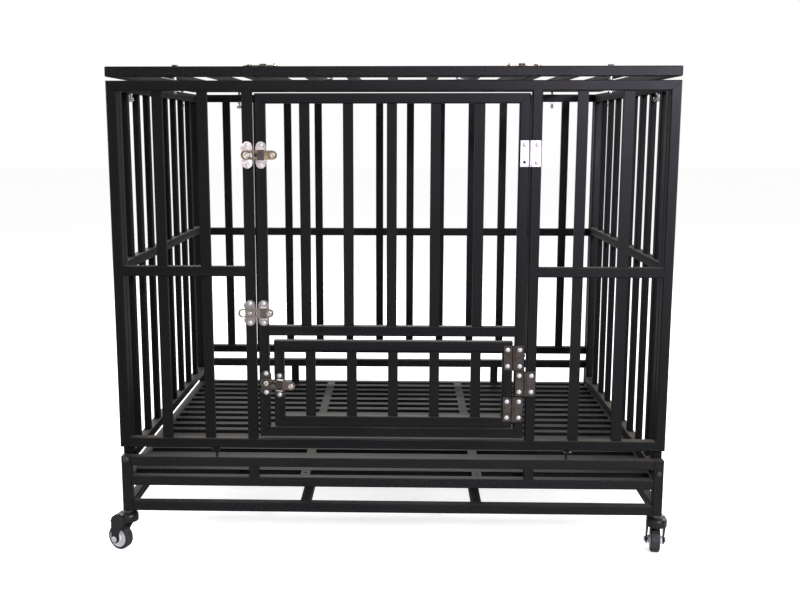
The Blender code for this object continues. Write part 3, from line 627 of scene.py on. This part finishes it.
def side_frame(low, high, pivot_z):
    """A frame of tube with a mid rail and bored pivot holes, as (solid, matrix) pairs."""
    # The rails stop inside the posts' rounded edges, and the mid rail is a hair thinner than they are
    tuck = 2.0
    slack = 0.2
    posts = [block((low.x, y, low.z), (high.x, y + TUBE, high.z)) for y in (low.y, high.y - TUBE)]
    top_rail, low_rail = [block((low.x, low.y + tuck, z), (high.x, high.y - tuck, z + TUBE))
                          for z in (high.z - TUBE, low.z)]
    mid_rail = block((low.x + slack, low.y + TUBE / 2, SIDE_CROSS),
                     (high.x - slack, high.y - TUBE / 2, SIDE_CROSS + TUBE))
    bore = bmesh.new()
    for y in (low.y, high.y):
        lying = shift((low.x + high.x) / 2, y, pivot_z) @ Matrix.Rotation(math.pi / 2, 4, "X")
        bmesh.ops.create_cone(bore, cap_ends=True, segments=24, radius1=BORE_RADIUS, radius2=BORE_RADIUS,
                              depth=BORE_DEPTH, matrix=lying)
    posts = [carved(post, bore.copy()) for post in posts]
    low_rail = carved(low_rail, bore)
    return [(solid, HERE) for solid in (*posts, top_rail, low_rail, mid_rail)]


def side_bars(low, high, along):
    """The bars, with a weld bead wherever they meet a rail, as (solid, matrix) pairs."""
    # How far the bars reach into the top and low rails
    sunk = 9.0
    solids = []
    for n in range(SIDE_BARS):
        foot = Vector(((low.x + high.x) / 2, (n - (SIDE_BARS - 1) / 2) * BAR_PITCH + along, low.z + sunk))
        head = Vector((foot.x, foot.y, high.z - sunk))
        solids.append(block(foot - BAR_HALF, head + BAR_HALF, edge=1.2))
        for z in (low.z + TUBE, SIDE_CROSS, SIDE_CROSS + TUBE, high.z - TUBE):
            weld = Vector((foot.x, foot.y, z))
            solids.append(block(weld - BEAD_HALF, weld + BEAD_HALF, edge=1.1))
    return [(solid, HERE) for solid in solids]


for label, along in BAR_SHIFT.items():
    low, high = box_mm(f"{label}_panel")
    pivot_z = joints[f"{label}_fold"]["pos_m"][2] / MM
    coat = nodes[f"{label}_panel"].data.materials[0]
    piece(f"{label}_panel_bars", f"{label}_side", SIDE_BAR_COAT_PAINTED_SHADE, side_bars(low, high, along))
    made = piece(f"{label}_panel_frame", f"{label}_side", coat, side_frame(low, high, pivot_z))
    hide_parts(f"{label}_panel")


# Hinges

HINGES = ("main_hinge_upper", "main_hinge_lower", "small_hinge_upper", "small_hinge_lower",
          "top_hinge_left", "top_hinge_right")
# The top of a leaf over the face it lies on, and its holes' places from the middle of the pin
LEAF_TOP = 2.1
HOLE_ASIDE = 11.5
HOLE_ALONG = 16.0
# The lower hole of the moving leaf of the hinge painted light has no rivet; a dark disc with a thin raised rim
# lies in it as the hole's painted shade
EMPTY_HINGE = "main_hinge_upper"

for name in HINGES:
    leaves = (f"{name}_fixed_leaf", f"{name}_moving_leaf")
    pin = (middle_mm(leaves[0]) + middle_mm(leaves[1])) / 2
    place = on_face("across" if name.startswith("top") else "front", pin)
    if name == EMPTY_HINGE:
        # A dark disc in the hole: painted shade
        rim = lathe([(0.0, -0.1), (2.2, -0.1), (2.4, 0.08), (2.7, -0.05), (2.7, -0.3), (0.0, -0.3)])
        hole = place @ shift(-HOLE_ASIDE, -HOLE_ALONG, LEAF_TOP)
        piece(f"{name}_hole_painted_shade", body_of[leaves[1]], FORK, [(rim, hole)])
    for leaf, kind, aside in zip(leaves, ("fixed", "moving"), (HOLE_ASIDE, -HOLE_ASIDE)):
        filled = (HOLE_ALONG,) if (name, kind) == (EMPTY_HINGE, "moving") else (-HOLE_ALONG, HOLE_ALONG)
        rivets = [(dome_rivet(), place @ shift(aside, along, LEAF_TOP)) for along in filled]
        # That hinge's rivets take the same zinc painted light
        piece(f"{name}_{kind}_rivets", body_of[leaf], ZINC_PAINTED_LIGHT if name == EMPTY_HINGE else RIVET, rivets)


# Hasps

# The lid hasps' colours, painted light and shade like those of the hasps below
LID_HASP = ("top", 4.6, (0.10, 0.10, 0.10), (0.40, 0.38, 0.34), (0.66, 0.56, 0.42), (0.70, 0.60, 0.46))
# The way each hasp faces, its stud head's radius, and the colours of plate, strap, arm ring and arm end. The
# colours are painted light and shade: one zinc, made lighter where lamps mirror in it and darker where the dark
# room does
HASPS = {"upper_hasp": ("front", 4.6, (0.84, 0.74, 0.73), (0.115, 0.095, 0.098), (0.19, 0.155, 0.118),
                        (0.32, 0.235, 0.15)),
         "middle_hasp": ("front", 3.1, (0.62, 0.56, 0.53), (0.24, 0.235, 0.22), (0.48, 0.44, 0.38),
                         (0.46, 0.41, 0.34)),
         "small_hasp": ("front", 4.6, (0.11, 0.10, 0.09), (0.10, 0.098, 0.096), (0.20, 0.165, 0.125),
                        (0.26, 0.20, 0.165)),
         "top_hasp_left": LID_HASP,
         "top_hasp_right": ("round", *LID_HASP[1:])}
# The stud's place on its keeper, the rivets' on both plates, and the knob's from the stud while it is latched
STUD_ASIDE = 1.0
RIVET_ALONG = 18.8
KNOB_REACH = 48.2
# The tops of plate, arm and stud head over the face they stand on
PLATE_TOP = 2.3
ARM_TOP = 4.8
HEAD_TOP = ARM_TOP + 2.5
# The screw on the stud: how far it stands past the stud's rim, below its top and above it
STUD_RIM = 0.25
STUD_SUNK = 1.2
STUD_PROUD = 0.9
KNOB_RADIUS = 4.9
KNOB_LOW = ARM_TOP + 0.1
KNOB_HIGH = ARM_TOP + 4.2
# How the screwdriver slots are turned
STUD_SLOT = 0.6
KNOB_SLOT = -0.9

for name, (way, head, plate_shading, strap_shading, ring_shading, end_shading) in HASPS.items():
    keeper = f"{name}_keeper"
    plate = f"{name}_plate"
    arm = f"{name}_arm"
    slide = joints[f"{name}_slide"]
    slid = -slide["range_m"][0] / MM
    stud_place = on_face(way, middle_mm(keeper)) @ shift(STUD_ASIDE, 0.0, 0.0)
    plate_place = on_face(way, middle_mm(plate))
    stud = stud_place.translation
    reach = stud_place.to_3x3().inverted() @ -Vector(slide["axis"])
    lean = stud_place @ Matrix.Rotation(math.atan2(reach.y, reach.x), 4, "Z")
    run = lean.col[0].to_3d()
    rise = lean.col[1].to_3d()
    on_lid = name.startswith("top")
    dress(keeper, banded(keeper, plate_shading, plate_shading, stud, rise, edges=(8.0, 9.0)))
    dress(plate, banded(plate, strap_shading, plate_shading, plate_place.translation, rise, edges=(7.8, 8.1),
                        rough=0.36, run=None if on_lid else run))
    dress(arm, banded(arm, ring_shading, end_shading, stud, run, edges=(8.0, 26.0)))
    # Rivets on the lid take the fastener zinc painted dark as shade
    rivet_coat = STEEL_PAINTED_SHADE if on_lid else RIVET
    piece(f"{name}_keeper_rivets", body_of[keeper], rivet_coat,
          [(dome_rivet(), stud_place @ shift(0.0, along, PLATE_TOP))
           for along in (-RIVET_ALONG, RIVET_ALONG)])
    piece(f"{name}_plate_rivets", body_of[plate], rivet_coat,
          [(dome_rivet(radius=3.6, height=1.9), plate_place @ shift(0.0, along, PLATE_TOP))
           for along in (-RIVET_ALONG, RIVET_ALONG)])
    piece(f"{name}_stud_screw", body_of[keeper], SCREW,
          [(slotted_head(head + STUD_RIM, HEAD_TOP - STUD_SUNK, HEAD_TOP + STUD_PROUD),
            stud_place @ Matrix.Rotation(STUD_SLOT, 4, "Z"))])
    piece(f"{name}_knob_screw", body_of[arm], SCREW,
          [(slotted_head(KNOB_RADIUS, KNOB_LOW, KNOB_HIGH),
            lean @ shift(KNOB_REACH - slid, 0.0, 0.0) @ Matrix.Rotation(KNOB_SLOT, 4, "Z"))])


# Pivot pins of the front and back panels: a head on the inner face of each lug and a nut on the outer one

PIN_HEAD_X = 339.4
PIN_NUT_X = 349.3
# The way towards the crate's middle from its left and its right
INWARD = {-1: "right", 1: "left"}

for panel in ("front", "back"):
    pivot = Vector(joints[f"{panel}_fold"]["pos_m"]) / MM
    heads = []
    nuts = []
    for side in (-1, 1):
        inner = (side * PIN_HEAD_X, pivot.y, pivot.z)
        outer = (side * PIN_NUT_X, pivot.y, pivot.z)
        heads.append((dome_rivet(radius=4.9, height=1.6), facing(INWARD[side], inner)))
        nuts.append((hex_nut(radius=4.6, height=4.0), facing(INWARD[-side], outer)))
    piece(f"{panel}_pivot_heads", "base", STEEL_PAINTED_SHADE, heads)
    piece(f"{panel}_pivot_nuts", "base", STEEL_PAINTED_SHADE, nuts)


# Lid bolts: where they stand along each panel, in X for the front and back and in Y for the sides

BOLT_RUNS = {"front": (-404.0, 404.0), "back": (-408.0, 408.0), "left_side": (-247.0, 217.0),
             "right_side": (-247.0, 217.0)}
# A collar's radius and its height over the panel
COLLAR = [(0.0, 0.5), (3.7, 0.5), (4.0, 2.3), (3.7, 3.9), (4.0, 5.3), (3.8, 7.1), (0.0, 7.1)]
UNDER_RAIL = PANEL_TOP - TUBE


def bolt_spots(body):
    """X and Y of the lid bolts that enter a body's panel."""
    middle = middle_mm(body.removesuffix("_side") + "_panel")
    if body.endswith("_side"):
        return [(middle.x, along) for along in BOLT_RUNS[body]]
    return [(along, middle.y) for along in BOLT_RUNS[body]]


all_spots = [spot for body in BOLT_RUNS for spot in bolt_spots(body)]
piece("lid_bolt_heads", "lid_frame", STEEL_PAINTED_SHADE,
      [(hex_nut(radius=5.9, height=3.0, stud=3.0, proud=0.3), facing("top", (x, y, LID_TOP - 0.2)))
       for x, y in all_spots])
piece("lid_bolt_collars", "lid_frame", STEEL,
      [(lathe(COLLAR, sides=20), shift(x, y, PANEL_TOP)) for x, y in all_spots])
for body in BOLT_RUNS:
    spots = bolt_spots(body)
    ends = [(hex_nut(radius=4.5, height=3.8), facing("down", (x, y, UNDER_RAIL + 0.1))) for x, y in spots]
    # The front panel's bolts end without wing nuts in the photograph
    if body != "front":
        for n, (x, y) in enumerate(spots):
            turn = Matrix.Rotation(0.6 + 1.1 * n, 4, "Z")
            ends += wing_nut_parts(facing("down", (x, y, UNDER_RAIL - 0.1)) @ turn)
    piece(f"{body}_bolt_nuts", body, STEEL, ends)


# Bearing races and axle caps of the casters

RACE = [(5.2, 81.4), (5.2, 81.75), (9.0, 81.75), (10.4, 81.4)]
# From the middle of the wheel to the outer face of its fork
CAP_OUT = 20.0

for label in CASTERS:
    stem = Vector(joints[f"{label}_swivel_turn"]["pos_m"]) / MM
    spin = joints[f"{label}_wheel_spin"]
    heading = Matrix.Rotation(math.atan2(-spin["axis"][0], spin["axis"][1]), 4, "Z")
    upright = shift(stem.x, stem.y, 0.0) @ heading
    piece(f"caster_{label}_race", f"{label}_swivel", RIVET, [(lathe(RACE, sides=28), upright)])
    axle = Matrix.Translation(Vector(spin["pos_m"]) / MM) @ heading @ Matrix.Rotation(math.pi / 2, 4, "X")
    ends = [axle @ Matrix.Rotation(turn, 4, "X") @ shift(0.0, 0.0, CAP_OUT) for turn in (0.0, math.pi)]
    caps = [(dome_rivet(radius=5.4, height=1.8), end) for end in ends]
    piece(f"caster_{label}_axle_caps", f"{label}_swivel", RIVET, caps)


# Floor

FLOOR_HALF = 20.0
# The floor's colour for light that bounces off it and for the camera
FLOOR_UNSEEN = (0.45, 0.45, 0.45)
FLOOR_SEEN = (0.96, 0.96, 0.96)
FLOOR_GLOW = 0.62


def make_floor():
    """A white floor that keeps the crate's shadow, and that throws less light than the camera sees."""
    shape = bmesh.new()
    bmesh.ops.create_grid(shape, x_segments=1, y_segments=1, size=FLOOR_HALF)
    mesh = bpy.data.meshes.new("floor")
    shape.to_mesh(mesh)
    shape.free()
    floor = bpy.data.objects.new("floor", mesh)
    bpy.context.scene.collection.objects.link(floor)
    material, tree, shader, _ = new_material("floor")
    shader.inputs["Roughness"].default_value = 0.9
    shader.inputs["Specular IOR Level"].default_value = 0.1
    shader.inputs["Emission Color"].default_value = (1.0, 1.0, 1.0, 1.0)
    seen = tree.nodes.new("ShaderNodeLightPath").outputs["Is Camera Ray"]
    tree.links.new(mixed(tree, seen, FLOOR_UNSEEN, FLOOR_SEEN), shader.inputs["Base Color"])
    tree.links.new(product(tree, seen, FLOOR_GLOW), shader.inputs["Emission Strength"])
    mesh.materials.append(material)


# Light

# The light a coated face gets from the world, and the light it mirrors, in front and behind
FRONT_LIGHT = 0.075
BACK_LIGHT = 0.5
GLOSS_FRONT = 0.04
GLOSS_BACK = 0.55
# Directions in Y between which each of the two changes from front to back
LIGHT_SPAN = (-0.7, 0.1)
GLOSS_SPAN = (-0.7, 0.7)
CRATE_MIDDLE = (0.0, 0.0, 0.5)


def make_world():
    """White where the camera sees it; as a light, dim from the front and brighter from behind."""
    world = bpy.data.worlds.new("studio")
    bpy.context.scene.world = world
    world.use_nodes = True
    tree = world.node_tree
    backdrop = tree.nodes["Background"]
    backdrop.inputs["Color"].default_value = (1.0, 1.0, 1.0, 1.0)
    ray = tree.nodes.new("ShaderNodeLightPath").outputs
    way = tree.nodes.new("ShaderNodeTexCoord").outputs["Generated"]
    backward = axis_part(tree, way, "Y")
    diffuse = ranged(tree, backward, LIGHT_SPAN, (FRONT_LIGHT, BACK_LIGHT))
    mirrored = ranged(tree, backward, GLOSS_SPAN, (GLOSS_FRONT, GLOSS_BACK))
    thrown = maths(tree, "ADD", product(tree, ray["Is Glossy Ray"], mirrored),
                   product(tree, ray["Is Diffuse Ray"], diffuse))
    looked_at = maths(tree, "MAXIMUM", ray["Is Camera Ray"], ray["Is Transmission Ray"])
    tree.links.new(maths(tree, "MAXIMUM", thrown, looked_at), backdrop.inputs["Strength"])


def area(name, place, aim, size, energy, colour=(1.0, 1.0, 1.0)):
    """An area lamp at a place, turned towards a point, with its size in metres and its energy in watts."""
    lamp = bpy.data.lights.new(name, "AREA")
    lamp.shape = "RECTANGLE"
    lamp.size, lamp.size_y = size
    lamp.energy = energy
    lamp.color = colour
    made = bpy.data.objects.new(name, lamp)
    made.location = place
    made.rotation_euler = (Vector(aim) - Vector(place)).to_track_quat("-Z", "Y").to_euler()
    bpy.context.scene.collection.objects.link(made)


make_floor()
make_world()
area("key_softbox", (1.6, -2.6, 3.0), aim=CRATE_MIDDLE, size=(2.2, 1.6), energy=27.0)
area("fill_softbox", (-2.6, -1.8, 2.2), aim=CRATE_MIDDLE, size=(1.8, 1.8), energy=9.0)
area("camera_lamp", (1.13, -2.38, 1.27), aim=(0.2, -0.38, 0.8), size=(0.3, 0.25), energy=38.0,
     colour=(1.0, 0.93, 1.13))
area("hasp_lamp", (-0.59, -2.40, 0.74), aim=(-0.27, -0.38, 0.7), size=(0.35, 0.25), energy=1.7)
area("rim_softbox", (-0.6, 2.8, 2.6), aim=(0.0, 0.0, 0.6), size=(2.6, 1.4), energy=75.0)
for label, side in (("left", -1), ("right", 1)):
    area(f"{label}_softbox", (side * 2.8, 0.7, 1.6), aim=(0.0, 0.1, 0.5), size=(1.8, 1.8), energy=50.0)


# Camera, fitted to the photograph: its focal length and optical centre in pixels, then its place and turns

PHOTO_WIDTH = 800.0
PHOTO_HEIGHT = 600.0
FOCAL_PX = 974.71
CENTRE_X_PX = 377.39
CENTRE_Y_PX = 284.27
SENSOR = 36.0
EYE = (0.0229, -2.2171, 0.8362)
TILT_DOWN = 0.1569
TURN_LEFT = 0.0267


def make_camera():
    """The camera that sees the crate as the photograph does."""
    camera = bpy.data.cameras.new("camera")
    camera.lens = FOCAL_PX * SENSOR / PHOTO_WIDTH
    camera.sensor_width = SENSOR
    camera.shift_x = (PHOTO_WIDTH / 2 - CENTRE_X_PX) / PHOTO_WIDTH
    camera.shift_y = (CENTRE_Y_PX - PHOTO_HEIGHT / 2) / PHOTO_WIDTH
    eye = bpy.data.objects.new("camera", camera)
    eye.location = EYE
    eye.rotation_euler = (math.pi / 2 - TILT_DOWN, 0.0, TURN_LEFT)
    bpy.context.scene.collection.objects.link(eye)
    bpy.context.scene.camera = eye


make_camera()
bpy.context.scene.view_settings.view_transform = "Standard"
